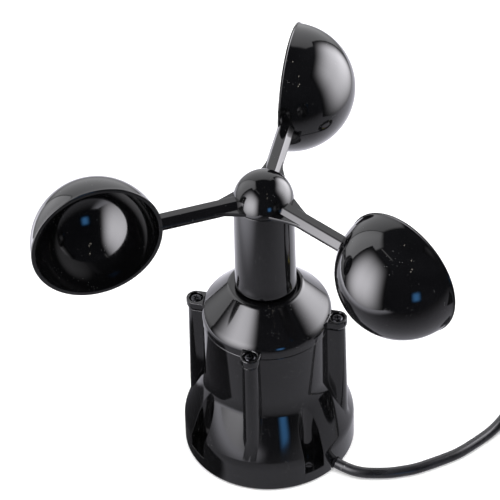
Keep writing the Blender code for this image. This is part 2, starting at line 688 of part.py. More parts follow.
def build_grommet():
    length = GROMMET_OUT - GROMMET_IN
    centre = polar((GROMMET_OUT + GROMMET_IN) / 2, EXIT_TURN, 3.35) / MM
    grommet = place(block("cable_grommet", (length, 7.0, 6.1), centre, EXIT_TURN), BLACK_RUBBER)
    rounded(grommet, 0.7, 2)
    applied(grommet)
    boolean(grommet, lead_passage("cut_grommet", 2.55), "DIFFERENCE")
    bpy.data.objects["cut_grommet"].location = polar(34.0, EXIT_TURN, EXIT_Z)
    applied(grommet)
    soft_shade(grommet)


def build_cable():
    start = polar(GROMMET_OUT - 0.05, EXIT_TURN, EXIT_Z) / MM
    inner_route = [start, polar(30.0, EXIT_TURN, EXIT_Z) / MM, polar(24.3, EXIT_TURN, EXIT_Z) / MM,
                   polar(20.5, EXIT_TURN, 4.4) / MM, polar(17.0, EXIT_TURN, 7.6) / MM,
                   Vector((11.0, -5.5, 14.5)), Vector((2.0, -2.0, 24.0)), Vector((-6.0, 0.0, 32.0)),
                   Vector((-8.0, 0.0, 39.6))]
    tube("inner_lead", smooth_path(inner_route, 4.0), CABLE_R - 0.05, CABLE_SKIN)
    outer_start = polar(GROMMET_OUT + GAP, EXIT_TURN, EXIT_Z) / MM
    floor_z = CABLE_R + 0.02
    route = [outer_start]
    for count, (x, y) in enumerate(CABLE_ROUTE):
        sink = max(0.0, 1.0 - (count + 1) / 4)
        route.append(Vector((x, y, floor_z + (EXIT_Z - floor_z) * sink)))
    tube("cable_run", smooth_path(route, 5.5), CABLE_R, CABLE_SKIN)


def build_coil():
    """The stored cable as one ring, with its end, bare cores and tie."""
    centre = Vector((COIL_CENTRE[0], COIL_CENTRE[1], 0.0)) * MM
    half = COIL_TURNS_WIDE * COIL_PITCH / 2
    height = COIL_TURNS_HIGH * COIL_PITCH
    outer, inner, corner = COIL_MID_R + half, COIL_MID_R - half, 1.5
    section = [(inner + corner, height), (outer - corner, height), (outer, height - corner),
               (outer, corner), (outer - corner, 0.02), (inner + corner, 0.02), (inner, corner),
               (inner, height - corner)]
    coil = place(turned("cable_coil", section, steps=32), CABLE_SKIN)
    coil.location = centre
    top = height + GAP

    def on_coil(radius, turn, z):
        return (COIL_CENTRE[0] + radius * math.cos(turn), COIL_CENTRE[1] + radius * math.sin(turn), z)

    tail = [on_coil(COIL_MID_R, TAIL_START + TAIL_TURN * step / 8, top + CABLE_R) for step in range(9)]
    tube("cable_tail", tail, CABLE_R, CABLE_SKIN)
    first = TAIL_START + TAIL_TURN - GAP / COIL_MID_R
    for index in range(4):
        offset = (index - 1.5) * 1.5
        spread = offset * 0.9
        cores = []
        for step in range(8):
            part = step / 7
            radius = COIL_MID_R + offset + spread * part
            drop = CORE_WIRE_R + 1.2 * (1 - part) ** 2
            cores.append(on_coil(radius, first + CORE_TURN * part, top + drop))
        tube(f"core_wire_{index + 1}", cores, CORE_WIRE_R, COPPER_WIRE, sides=2)
    build_tie(outer, inner, height)


def build_tie(outer, inner, height):
    """A cable tie looped round the section of the coil, with its head on top."""
    band = 0.9
    width = 4.0
    left, right = inner - GAP, outer + GAP
    middle = (left + right) / 2
    span = right - left
    loop = rounded(block("cable_tie", (span + 2 * band, width, height + GAP + band), (middle, 0.0, 0.0)), 1.2)
    loop.location = (0.0, 0.0, 0.0)
    loop.data.transform(Matrix.Translation((middle * MM, 0.0, (height + GAP + band) / 2 * MM)))
    place(loop, NYLON)
    applied(loop)
    hole = block("cut_tie", (span, width * 3, height + GAP + 2.0), (0.0, 0.0, 0.0))
    hole.location = (middle * MM, 0.0, (height + GAP - (height + GAP + 2.0) / 2) * MM)
    boolean(loop, as_cutter(hole), "DIFFERENCE")
    head = block("join_tie_head", (4.6, 5.4, 3.4), (0.0, 0.0, 0.0))
    head.location = (middle * MM, 0.0, (height + GAP + 1.75) * MM)
    boolean(loop, as_cutter(head), "UNION")
    applied(loop)
    turn = Matrix.Rotation(TIE_TURN, 4, "Z")
    loop.data.transform(Matrix.Translation((COIL_CENTRE[0] * MM, COIL_CENTRE[1] * MM, 0.0)) @ turn)
    soft_shade(loop)


# ---------------------------------------------------------------- assembly

def main():
    rotor = bpy.data.objects.new("rotor_axis", None)
    rotor.rotation_euler = (0.0, 0.0, REST_TURN)
    PARTS.objects.link(rotor)
    build_bottom_cover()
    build_housing()
    build_top_cap()
    build_gasket()
    build_screws()
    build_bearings(rotor)
    build_electronics()
    build_spindle(rotor)
    build_hub(rotor)
    build_arms(rotor)
    build_grommet()
    build_cable()
    build_coil()


main()
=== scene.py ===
"""A three-cup wind sensor in glossy black plastic, on a pale floor under soft studio light.

Sizes are in mm in the part's frame: +Z up, the rotor's axis at x = y = 0, the floor at z = 0.
The screw columns stand on +X, +Y, -X and -Y, with the standing mounting grooves between them.
"""

import math

import bmesh
import bpy
from mathutils import Matrix, Vector


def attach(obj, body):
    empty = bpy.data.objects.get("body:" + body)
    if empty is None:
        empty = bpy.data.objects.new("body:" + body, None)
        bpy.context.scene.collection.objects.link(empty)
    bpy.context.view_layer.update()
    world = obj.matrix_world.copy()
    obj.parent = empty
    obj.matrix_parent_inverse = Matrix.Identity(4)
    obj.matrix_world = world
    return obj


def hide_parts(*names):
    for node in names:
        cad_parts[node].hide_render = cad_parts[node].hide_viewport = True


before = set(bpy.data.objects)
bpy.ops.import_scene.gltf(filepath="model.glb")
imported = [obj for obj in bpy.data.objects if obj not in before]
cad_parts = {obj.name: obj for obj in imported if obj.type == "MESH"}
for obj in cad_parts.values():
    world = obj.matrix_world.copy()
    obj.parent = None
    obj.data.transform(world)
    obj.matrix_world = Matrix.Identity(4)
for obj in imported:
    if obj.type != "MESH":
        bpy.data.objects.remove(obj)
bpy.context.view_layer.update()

MM = 0.001
UP_AXIS = Vector((0.0, 0.0, 1.0))

# The view
VIEW_TURN = math.radians(14.31)
VIEW_LIFT = math.radians(42.34)
VIEW_ROLL = math.radians(-1.776)
VIEW_AIM = Vector((-5.9, -1.5, 104.35))
VIEW_DISTANCE = 1562.0
VIEW_LENS = 275.4
RIGHT = Vector((math.cos(VIEW_TURN), math.sin(VIEW_TURN), 0.0))
NEAR = Vector((math.sin(VIEW_TURN), -math.cos(VIEW_TURN), 0.0))

# Housing heights and radii
SKIRT_BOTTOM = 3.3
LIP_BOTTOM = 0.8                # the skirt hides the bottom cover's edge
SKIRT_R = 35.9
SKIRT_INNER_R = 35.25
FLARE_Z = 38.0
FLARE_TILT = math.radians(20.6)
FLARE_FILLET = 20.0
BODY_R = 26.8
BODY_INNER_R = 24.4
SEAM_Z = 67.6
RIM_BOTTOM = 67.9
RIM_TOP = 72.8
RIM_R = 27.0
LUG_TOP = 72.2
LUG_R = 4.15
SEAT_Z = 70.5
SHOULDER_Z = 85.8
SHOULDER_R = 15.2
NECK_R = 10.2
NECK_TOP = 120.5
BORE_R = 8.3                    # the neck's bore, for the bearings
CAP_INNER_R = 24.6
SCREW_CIRCLE_R = 30.0
SCREW_HEAD_R = 2.6
SCREW_HEAD_HEIGHT = 1.7
SCREW_SHANK_R = 1.35
SCREW_LENGTH = 11.5             # below the seat
COLUMN_R_TOP = 3.4
COLUMN_R_FOOT = 4.05
COLUMN_FOOT_Z = 12.0
NICHE_FLOOR = 6.4
NICHE_CENTRE_R = 32.3
NICHE_HALF = 4.7
NICHE_TOP = 46.0                # above where the groove runs out of the foot
MOUNT_CIRCLE_R = 31.0
MOUNT_HOLE_R = 2.35

# Rotor
REST_TURN = math.radians(0.9)
SLEEVE_BOTTOM = 87.2
SLEEVE_TOP = 131.0
SLEEVE_R_BOTTOM = 12.9
SLEEVE_R_TOP = 12.35
SLEEVE_INNER_R = 11.2
DOME_R = 12.4
DOME_Z = 131.9
ARM_Z = 132.2
ARM_R = 3.75
ARM_ROUND = 0.55
ARM_STATIONS = (11.0, 14.0, 20.0, 30.0, 40.0, 44.7)
GUSSET_START = 8.2
GUSSET_REACH = 20.4
GUSSET_HALF = 8.3
CUP_PATH_R = 70.8
CUP_AHEAD = 3.45
CUP_Z = 132.0
CUP_R = 27.0
CUP_WALL = 1.2
LIP = 0.4
LIP_DEPTH = 0.7

# Cable
CABLE_R = 2.3
EXIT_TURN = math.radians(-26.5)
EXIT_R = 36.7
EXIT_Z = 3.2
BUSH_R = 2.75
BUSH_INNER_R = 2.35
BUSH_START = 31.2
CABLE_FLOOR_Z = 2.32
CABLE_ROUTE = (
    (36.2, -17.6), (40.5, -18.7), (45.2, -18.8), (50.2, -17.8), (55.5, -16.5), (60.5, -14.5),
    (65.5, -12.0), (70.3, -8.6), (76.3, -3.9), (82.0, 1.3), (88.6, 9.9), (92.9, 16.6),
    (96.2, 24.2), (99.2, 33.8),
)
COIL_CENTRE = (132.7, 32.5)
COIL_OUTER_TURN_R = 32.2
COIL_PITCH = 4.7
COIL_ENTRY = 160.0             # degrees; the turns run clockwise from here
COIL_WOUND = 2852.0            # degrees wound from the entry to the jacket's end
# Each shift: degrees wound at its start and end, and its step across and up, in cable pitches
COIL_SHIFTS = (
    (300, 360, -1, 0), (660, 720, -1, 0), (960, 1020, 0, 1), (1260, 1320, 1, 0), (1620, 1680, 1, 0),
    (1920, 1980, 0, 1), (2220, 2280, -1, 0), (2580, 2640, -1, 0), (2680, 2735, 0, 1), (2735, 2790, 1, 0),
)
COIL_TOP = 14.1
TIE_TURN = math.radians(20)

# Studio
CLOTH_TINT = (1.0, 0.985, 1.035)
PALE_TINT = (1.0, 1.0, 1.03)
LAMPS = ((17.0, 41.0), (27.0, 57.5), (55.0, 85.0), (-172.0, 57.0), (21.0, 44.0))   # turn and lift, degrees
# A painted shadow on the floor, left of the foot, seen only in the gloss: its middle and half sizes
PAINTED_SHADOW_AT = (-0.057, -0.002)   # m right of the axis and towards the camera
PAINTED_SHADOW_HALF = (0.040, 0.036)


# ---------------------------------------------------------------- camera

def make_camera():
    back = NEAR * math.cos(VIEW_LIFT) + UP_AXIS * math.sin(VIEW_LIFT)
    above = back.cross(RIGHT)
    across = RIGHT * math.cos(VIEW_ROLL) + above * math.sin(VIEW_ROLL)
    upright = above * math.cos(VIEW_ROLL) - RIGHT * math.sin(VIEW_ROLL)
    data = bpy.data.cameras.new("studio_camera")
    data.lens = VIEW_LENS
    data.sensor_width = 36.0
    data.clip_start = 0.1
    data.clip_end = 20.0
    data.dof.use_dof = False
    camera = bpy.data.objects.new("studio_camera", data)
    bpy.context.scene.collection.objects.link(camera)
    turn = Matrix((across, upright, back)).transposed().to_4x4()
    camera.matrix_world = Matrix.Translation((VIEW_AIM + back * VIEW_DISTANCE) * MM) @ turn
    bpy.context.scene.camera = camera


# ---------------------------------------------------------------- mesh helpers

def smooth_step(t):
    t = min(max(t, 0.0), 1.0)
    return t * t * (3.0 - 2.0 * t)


def polar(radius, angle, height=0.0):
    return Vector((radius * math.cos(angle), radius * math.sin(angle), height))


def add_object(name, mesh):
    piece = bpy.data.objects.new(name, mesh)
    bpy.context.scene.collection.objects.link(piece)
    return piece


def mesh_from(name, points, faces, sharp=40.0):
    """A mesh object from points in mm."""
    mesh = bpy.data.meshes.new(name)
    mesh.from_pydata([Vector(point) * MM for point in points], [], faces)
    tidy_mesh(mesh, sharp)
    return add_object(name, mesh)


def tidy_mesh(mesh, sharp):
    work = bmesh.new()
    work.from_mesh(mesh)
    bmesh.ops.recalc_face_normals(work, faces=work.faces)
    work.to_mesh(mesh)
    work.free()
    for polygon in mesh.polygons:
        polygon.use_smooth = True
    mesh.set_sharp_from_angle(angle=math.radians(sharp))


def fillet(corners, segments=4):
    """A profile with rounded corners, from points (across, up, rounding)."""
    points = []
    last = len(corners) - 1
    for index, corner in enumerate(corners):
        here = Vector(corner[:2])
        rounding = corner[2] if len(corner) > 2 else 0.0
        if rounding <= 0.0 or index in (0, last):
            points.append(here)
            continue
        before = Vector(corners[index - 1][:2]) - here
        after = Vector(corners[index + 1][:2]) - here
        reach = min(rounding, before.length * 0.48, after.length * 0.48)
        start = here + before.normalized() * reach
        end = here + after.normalized() * reach
        for step in range(segments + 1):
            t = step / segments
            points.append(start * (1 - t) ** 2 + here * 2 * t * (1 - t) + end * t * t)
    return [(point[0], point[1]) for point in points]


def arc(centre_r, centre_z, radius, start, end, count):
    points = []
    for index in range(count + 1):
        angle = math.radians(start + (end - start) * index / count)
        points.append((centre_r + radius * math.cos(angle), centre_z + radius * math.sin(angle)))
    return points


def lathe_data(profile, steps, closed):
    """Points and faces of a profile (radius, height) turned about Z, sharing one point at the axis."""
    points, rings, faces = [], [], []
    for radius, height in profile:
        if radius < 1e-6:
            rings.append([len(points)] * steps)
            points.append((0.0, 0.0, height))
        else:
            rings.append(list(range(len(points), len(points) + steps)))
            points += [(radius * math.cos(math.tau * step / steps),
                        radius * math.sin(math.tau * step / steps), height) for step in range(steps)]
    pairs = list(zip(rings, rings[1:]))
    if closed:
        pairs.append((rings[-1], rings[0]))
    for first, second in pairs:
        for step in range(steps):
            after = (step + 1) % steps
            corners = []
            for corner in (first[step], first[after], second[after], second[step]):
                if corner not in corners:
                    corners.append(corner)
            if len(corners) > 2:
                faces.append(corners)
    return points, faces


def lathe(name, profile, steps=128, closed=True, sharp=40.0):
    points, faces = lathe_data(profile, steps, closed)
    return mesh_from(name, points, faces, sharp)


def prism_data(lower, upper):
    """Points and faces between two outlines of the same count, with flat ends."""
    count = len(lower)
    points = list(lower) + list(upper)
    faces = [(step, (step + 1) % count, count + (step + 1) % count, count + step) for step in range(count)]
    faces.append(tuple(range(count))[::-1])
    faces.append(tuple(range(count, 2 * count)))
    return points, faces


def stack_data(outlines):
    """Points and faces through several outlines of the same count, with flat ends."""
    count = len(outlines[0])
    points = [point for outline in outlines for point in outline]
    faces = []
    for level in range(len(outlines) - 1):
        base = level * count
        for step in range(count):
            after = (step + 1) % count
            faces.append((base + step, base + after, base + count + after, base + count + step))
    faces.append(tuple(range(count))[::-1])
    faces.append(tuple(range(len(points) - count, len(points))))
    return points, faces


def joined(name, parts, sharp=40.0):
    """One mesh object from several (points, faces) sets."""
    points, faces = [], []
    for part_points, part_faces in parts:
        base = len(points)
        points += list(part_points)
        faces += [tuple(base + corner for corner in face) for face in part_faces]
    return mesh_from(name, points, faces, sharp)


def turned_data(part, angle):
    points, faces = part
    turn = Matrix.Rotation(angle, 4, "Z")
    return [turn @ Vector(point) for point in points], faces


def shifted_data(part, shift):
    points, faces = part
    return [Vector(point) + shift for point in points], faces


def cut(piece, tool, operation):
    """Apply a Boolean and throw the tool away."""
    change = piece.modifiers.new("Cut", "BOOLEAN")
    change.operation = operation
    change.solver = "EXACT"
    change.object = tool
    depsgraph = bpy.context.evaluated_depsgraph_get()
    mesh = bpy.data.meshes.new_from_object(piece.evaluated_get(depsgraph))
    piece.modifiers.clear()
    piece.data = mesh
    bpy.data.objects.remove(tool, do_unlink=True)


def face_weighted(piece):
    """Normals led by the large faces, so that flats stay flat beside narrow roundings."""
    shading = piece.modifiers.new("Shading", "WEIGHTED_NORMAL")
    shading.keep_sharp = True
    shading.weight = 60


def finish_piece(piece, material, body, slot, *nodes):
    piece.data.materials.clear()
    piece.data.materials.append(material)
    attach(piece, body)
    if nodes:
        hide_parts(*nodes)
    return piece


def spline_curve(name, points, radius, resolution=4, sides=6):
    """A round tube on one smooth Bezier spline through points in mm."""
    curve = bpy.data.curves.new(name, "CURVE")
    curve.dimensions = "3D"
    curve.bevel_depth = radius * MM
    curve.bevel_resolution = sides
    curve.resolution_u = resolution
    curve.use_fill_caps = True
    spline = curve.splines.new("BEZIER")
    spline.bezier_points.add(len(points) - 1)
    points = [Vector(point) for point in points]
    for index, point in enumerate(points):
        before = points[max(index - 1, 0)]
        after = points[min(index + 1, len(points) - 1)]
        along = (after - before).normalized()
        knot = spline.bezier_points[index]
        knot.co = point * MM
        knot.handle_left_type = "FREE"
        knot.handle_right_type = "FREE"
        knot.handle_left = (point - along * (point - before).length / 3) * MM
        knot.handle_right = (point + along * (after - point).length / 3) * MM
    return add_object(name, curve)


# ---------------------------------------------------------------- materials

class Graph:
    """A few words for building a shader from nodes."""

    def __init__(self, name):
        self.material = bpy.data.materials.new(name)
        self.material.use_nodes = True
        self.nodes = self.material.node_tree.nodes
        self.links = self.material.node_tree.links
        self.shader = self.nodes["Principled BSDF"]
        self.place = self.node("ShaderNodeTexCoord").outputs["Object"]

    def node(self, kind, **inputs):
        made = self.nodes.new(kind)
        for key, value in inputs.items():
            self.put(made.inputs[key.replace("_", " ")], value)
        return made

    def put(self, socket, value):
        if isinstance(value, bpy.types.NodeSocket):
            self.links.new(value, socket)
        else:
            socket.default_value = value

    def noise(self, scale, detail=2.0, stretch=None, distortion=0.0):
        texture = self.node("ShaderNodeTexNoise", Scale=scale, Detail=detail, Distortion=distortion)
        where = self.place
        if stretch is not None:
            mapping = self.node("ShaderNodeMapping", Vector=where)
            mapping.inputs["Scale"].default_value = stretch
            where = mapping.outputs["Vector"]
        self.put(texture.inputs["Vector"], where)
        return texture.outputs["Fac"]

    def ramp(self, value, low, high, start=0.35, end=0.65):
        """A smooth change from one number to another as value passes from start to end."""
        span = self.node("ShaderNodeMapRange", Value=value)
        span.interpolation_type = "SMOOTHSTEP"
        for key, number in (("From Min", start), ("From Max", end), ("To Min", low), ("To Max", high)):
            span.inputs[key].default_value = number
        return span.outputs["Result"]

    def blend(self, share, first, second):
        mix = self.nodes.new("ShaderNodeMix")
        mix.data_type = "RGBA"
        self.put(mix.inputs[0], share)
        self.put(mix.inputs[6], first if isinstance(first, bpy.types.NodeSocket) else (*first, 1.0))
        self.put(mix.inputs[7], second if isinstance(second, bpy.types.NodeSocket) else (*second, 1.0))
        return mix.outputs[2]

    def add(self, first, second, operation="ADD"):
        sum_node = self.nodes.new("ShaderNodeMath")
        sum_node.operation = operation
        self.put(sum_node.inputs[0], first)
        self.put(sum_node.inputs[1], second)
        return sum_node.outputs["Value"]

    def bump(self, height, distance, strength=1.0, normal=None):
        bump = self.node("ShaderNodeBump", Height=height, Distance=distance, Strength=strength)
        if normal is not None:
            self.put(bump.inputs["Normal"], normal)
        return bump.outputs["Normal"]

    def soft_edges(self, rounding):
        """The normal with edges rounded off by so many mm, or nothing to build on."""
        if rounding <= 0.0:
            return None
        edge = self.node("ShaderNodeBevel", Radius=rounding * MM)
        edge.samples = 6
        return edge.outputs["Normal"]

    def specks(self, scale, size):
        """1 on sparse small dots, 0 elsewhere."""
        dots = self.node("ShaderNodeTexVoronoi", Vector=self.place, Scale=scale, Randomness=1.0)
        chosen = self.add(self.noise(scale * 0.13, 1.0), 0.62, "GREATER_THAN")
        near = self.add(dots.outputs["Distance"], size, "LESS_THAN")
        return self.add(chosen, near, "MULTIPLY")


def gloss_plastic(name, rounding=0.0):
    """Injection-moulded black plastic: a near mirror with slow waves, orange peel and a little dust."""
    graph = Graph(name)
    shader = graph.shader
    dust = graph.specks(900.0, 0.13)
    tone = graph.blend(graph.ramp(graph.noise(45.0, 3.0), 0.0, 1.0), (0.0016, 0.0016, 0.0018),
                       (0.0030, 0.0030, 0.0034))
    graph.put(shader.inputs["Base Color"], graph.blend(dust, tone, (0.05, 0.05, 0.05)))
    smear = graph.ramp(graph.noise(26.0, 4.0, distortion=0.6), 0.045, 0.085, 0.4, 0.75)
    fine = graph.ramp(graph.noise(600.0, 2.0), 0.0, 0.012)
    rough = graph.add(smear, fine)
    graph.put(shader.inputs["Roughness"], graph.add(rough, graph.add(dust, 0.35, "MULTIPLY")))
    shader.inputs["IOR"].default_value = 1.52
    shader.inputs["Specular IOR Level"].default_value = 0.5
    waves = graph.bump(graph.noise(38.0, 1.5), 0.00006, 0.55, graph.soft_edges(rounding))
    peel = graph.bump(graph.noise(520.0, 1.0), 0.0000016, 0.5, waves)
    graph.put(shader.inputs["Normal"], peel)
    return graph.material


def mottled(name, dark, light, roughness, scale, relief=0.00001, relief_scale=400.0, metallic=0.0,
            stretch=None, spread=0.08, rounding=0.0):
    """A general finish whose colour, roughness and relief all vary a little."""
    graph = Graph(name)
    shader = graph.shader
    share = graph.ramp(graph.noise(scale, 4.0, stretch), 0.0, 1.0, 0.3, 0.7)
    graph.put(shader.inputs["Base Color"], graph.blend(share, dark, light))
    shader.inputs["Metallic"].default_value = metallic
    shader.inputs["IOR"].default_value = 1.5
    wear = graph.ramp(graph.noise(scale * 2.3, 3.0, stretch), roughness - spread, roughness + spread)
    graph.put(shader.inputs["Roughness"], wear)
    grain = graph.noise(relief_scale, 3.0, stretch)
    graph.put(shader.inputs["Normal"], graph.bump(grain, relief, 0.6, graph.soft_edges(rounding)))
    return graph.material


def jacket_plastic(name):
    """Black PVC cable jacket: satin, with fine relief and some dust."""
    graph = Graph(name)
    shader = graph.shader
    dust = graph.specks(520.0, 0.2)
    tone = graph.blend(graph.ramp(graph.noise(90.0, 3.0), 0.0, 1.0), (0.005, 0.005, 0.006),
                       (0.011, 0.011, 0.013))
    scuff = graph.ramp(graph.noise(140.0, 4.0, distortion=0.8), 0.0, 0.06, 0.62, 0.75)
    greyed = graph.blend(scuff, tone, (0.20, 0.20, 0.21))
    dusted = graph.blend(graph.add(dust, 0.6, "MULTIPLY"), greyed, (0.3, 0.3, 0.3))
    graph.put(shader.inputs["Base Color"], dusted)
    rough = graph.ramp(graph.noise(70.0, 3.0), 0.24, 0.36)
    graph.put(shader.inputs["Roughness"], graph.add(rough, graph.add(dust, 0.4, "MULTIPLY")))
    shader.inputs["IOR"].default_value = 1.52
    wave = graph.bump(graph.noise(160.0, 2.0), 0.00005, 0.5)
    graph.put(shader.inputs["Normal"], graph.bump(graph.noise(1500.0, 2.0), 0.000006, 0.5, wave))
    return graph.material


def board_laminate(name):
    """Green circuit board with a faint glass weave under the resist."""
    graph = Graph(name)
    shader = graph.shader
    across = graph.node("ShaderNodeTexWave", Vector=graph.place, Scale=420.0, Distortion=1.2)
    along = graph.node("ShaderNodeTexWave", Vector=graph.place, Scale=420.0, Distortion=1.2)
    along.bands_direction = "Y"
    weave = graph.add(across.outputs["Fac"], along.outputs["Fac"], "MULTIPLY")
    tint = graph.blend(weave, (0.006, 0.055, 0.022), (0.012, 0.095, 0.038))
    tracks = graph.ramp(graph.noise(130.0, 0.0, (1.0, 0.25, 1.0)), 0.0, 0.6, 0.52, 0.54)
    graph.put(shader.inputs["Base Color"], graph.blend(tracks, tint, (0.02, 0.16, 0.06)))
    graph.put(shader.inputs["Roughness"], graph.ramp(graph.noise(90.0), 0.28, 0.42))
    graph.put(shader.inputs["Normal"], graph.bump(weave, 0.00002, 0.4))
    return graph.material


def make_materials():
    return {
        "gloss": gloss_plastic("gloss_black_moulding"),
        "gloss_edged": gloss_plastic("gloss_black_moulding_edged", rounding=0.5),
        "jacket": jacket_plastic("cable_jacket_pvc"),
        "rubber": mottled("black_moulded_rubber", (0.006, 0.006, 0.006), (0.012, 0.012, 0.012), 0.7, 120.0,
                          0.00002, 900.0, rounding=0.3),
        "dark_steel": mottled("blackened_steel_screw", (0.022, 0.022, 0.024), (0.055, 0.055, 0.06), 0.24,
                              500.0, 0.000006, 1800.0, metallic=1.0, rounding=0.12),
        "steel": mottled("ground_steel", (0.50, 0.50, 0.52), (0.66, 0.66, 0.68), 0.24, 300.0,
                         0.000004, 1500.0, metallic=1.0, stretch=(1.0, 1.0, 6.0), rounding=0.12),
        "brass": mottled("turned_brass", (0.62, 0.42, 0.16), (0.78, 0.58, 0.26), 0.28, 260.0,
                         0.000004, 1500.0, metallic=1.0, stretch=(1.0, 1.0, 5.0), rounding=0.12),
        "board": board_laminate("resist_over_glass_laminate"),
        "matte": mottled("matte_black_nylon", (0.012, 0.012, 0.013), (0.024, 0.024, 0.026), 0.5, 200.0,
                         0.00001, 1200.0, rounding=0.2),
        "nylon": mottled("natural_nylon", (0.62, 0.61, 0.56), (0.76, 0.75, 0.70), 0.38, 150.0,
                         0.00001, 800.0, rounding=0.2),
        "tinned": mottled("tinned_copper_strands", (0.55, 0.50, 0.46), (0.80, 0.76, 0.72), 0.3, 900.0,
                          0.00004, 2600.0, metallic=1.0),
        "core_red": mottled("core_insulation_red", (0.34, 0.018, 0.014), (0.44, 0.03, 0.022), 0.4, 300.0),
        "core_black": mottled("core_insulation_black", (0.008, 0.008, 0.009), (0.016, 0.016, 0.018),
                              0.4, 300.0),
        "core_green": mottled("core_insulation_green", (0.02, 0.16, 0.045), (0.035, 0.22, 0.07), 0.4, 300.0),
        "core_yellow": mottled("core_insulation_yellow", (0.62, 0.45, 0.03), (0.74, 0.56, 0.06), 0.4, 300.0),
    }


# ---------------------------------------------------------------- cable

def cable_points():
    """The cable's one route in mm: along the floor, round the coil and up onto it."""
    points = [polar(EXIT_R, EXIT_TURN, EXIT_Z)]
    for count, (x, y) in enumerate(CABLE_ROUTE):
        sink = max(0.0, 1.0 - (count + 1) / 4)
        points.append(Vector((x, y, CABLE_FLOOR_Z + (EXIT_Z - CABLE_FLOOR_Z) * sink)))
    steps = round(COIL_WOUND / 20.0)
    for step in range(steps + 1):
        wound = COIL_WOUND * step / steps
        radius, height = COIL_OUTER_TURN_R, CABLE_FLOOR_Z
        for start, end, across, up in COIL_SHIFTS:
            share = smooth_step((wound - start) / (end - start))
            radius += across * share * COIL_PITCH
            height += up * share * COIL_PITCH
        angle = math.radians(COIL_ENTRY - wound)
        points.append(Vector((COIL_CENTRE[0] + radius * math.cos(angle),
                              COIL_CENTRE[1] + radius * math.sin(angle), height)))
    return points


def sweep_data(path, radius, sides):
    """Points and faces of a closed round tube along a short path."""
    outlines = []
    for index, point in enumerate(path):
        along = (path[min(index + 1, len(path) - 1)] - path[max(index - 1, 0)]).normalized()
        side = UP_AXIS.cross(along).normalized()
        above = along.cross(side)
        outlines.append([point + (side * math.cos(math.tau * step / sides)
                                  + above * math.sin(math.tau * step / sides)) * radius
                         for step in range(sides)])
    return stack_data(outlines)


def build_core_wires(end, along, materials):
    """Four insulated cores fanning out of the jacket's end, with short tinned tips."""
    pieces = []
    side = UP_AXIS.cross(along).normalized()
    colours = ("core_red", "core_black", "core_green", "core_yellow")
    bend_r = 27.5
    for index, colour in enumerate(colours):
        offset = index - 1.5
        path = []
        for step in range(9):
            t = step / 8
            turn = math.radians(-36.0 * t) * (1.0 - 0.04 * offset)
            ahead = along * (bend_r * math.sin(-turn)) - side * (bend_r * (1.0 - math.cos(turn)))
            spread = side * offset * (0.75 + 2.0 * smooth_step(t))
            rise = Vector((0.0, 0.0, -1.45 * smooth_step(t * 1.6) + 0.5 * (index % 2) * (1.0 - t)))
            path.append(end + ahead + spread + rise)
        wire = sweep_data(path[:8], 0.6, 12)
        tip = sweep_data([path[7], path[7].lerp(path[8], 0.5), path[8]], 0.36, 10)
        piece = joined(f"core_lead_{index + 1}", [wire, tip])
        piece.data.materials.append(materials[colour])
        piece.data.materials.append(materials["tinned"])
        for polygon in piece.data.polygons:
            polygon.material_index = int(polygon.index >= len(wire[1]))
        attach(piece, "housing")
        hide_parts(f"core_wire_{index + 1}")
        pieces.append(piece)
    return pieces


def build_tie(materials):
    """A nylon tie over the coil: a ribbed band with rounded shoulders, a locking head and its cut end."""
    clear = 2.75
    inner, outer = COIL_OUTER_TURN_R - 2 * COIL_PITCH - clear, COIL_OUTER_TURN_R + clear
    thick, half_width = 0.9, 2.0
    crown = COIL_TOP + 0.3
    line = fillet([(outer, 0.0), (outer, crown, 3.0), (inner, crown, 3.0), (inner, 0.0)], 8)
    dense = []
    for first, second in zip(line, line[1:]):
        steps = max(1, round((Vector(second) - Vector(first)).length / 0.9))
        dense += [Vector(first).lerp(Vector(second), step / steps) for step in range(steps)]
    dense.append(Vector(line[-1]))
    outlines = []
    for index, point in enumerate(dense):
        along = (dense[min(index + 1, len(dense) - 1)] - dense[max(index - 1, 0)]).normalized()
        out = Vector((along[1], -along[0]))
        proud = thick - 0.22 * (index % 2)
        ring = []
        for across, depth in ((-half_width, 0.15), (-half_width, thick * 0.8), (-half_width + 0.45, thick),
                              (-half_width + 0.6, proud), (half_width - 0.6, proud),
                              (half_width - 0.45, thick), (half_width, thick * 0.8), (half_width, 0.15),
                              (half_width - 0.2, 0.0), (-half_width + 0.2, 0.0)):
            spot = point + out * depth
            ring.append(Vector((spot[0], across, spot[1])))
        outlines.append(ring)
    band = stack_data(outlines)
    middle = (inner + outer) / 2
    head_outline = [(-2.4, -2.8), (2.4, -2.8), (2.4, 2.8), (-2.4, 2.8)]
    low = crown + 0.5
    tiers = [(0.86, low), (1.0, low + 0.35), (1.0, low + 2.3), (0.9, low + 2.65)]
    head = stack_data([[Vector((middle + x * size, y * size, z)) for x, y in head_outline]
                       for size, z in tiers])
    stub_outline = [(-0.5, -1.8), (0.5, -1.8), (0.5, 1.8), (-0.5, 1.8)]
    stub = stack_data([[Vector((middle + 0.6 + x, y, z)) for x, y in stub_outline]
                       for z in (low + 2.0, low + 2.95)])
    tie = joined("coil_tie", [band, head, stub])
    move = Matrix.Translation(Vector((*COIL_CENTRE, 0.0)) * MM) @ Matrix.Rotation(TIE_TURN, 4, "Z")
    tie.data.transform(move)
    return finish_piece(tie, materials["nylon"], "housing", "white_nylon", "cable_tie")


def build_cable(materials):
    points = cable_points()
    cable = spline_curve("signal_cable", points, CABLE_R, resolution=5, sides=7)
    finish_piece(cable, materials["jacket"], "housing", "cable_jacket",
                 "cable_run", "cable_coil", "cable_tail")
    along = (points[-1] - points[-2]).normalized()
    pieces = build_core_wires(points[-1] - along * 0.4, along, materials)
    pieces.append(build_tie(materials))


# ---------------------------------------------------------------- rotor pieces

def rotor_angles():
    return [math.pi / 2 + REST_TURN + index * math.tau / 3 for index in range(3)]


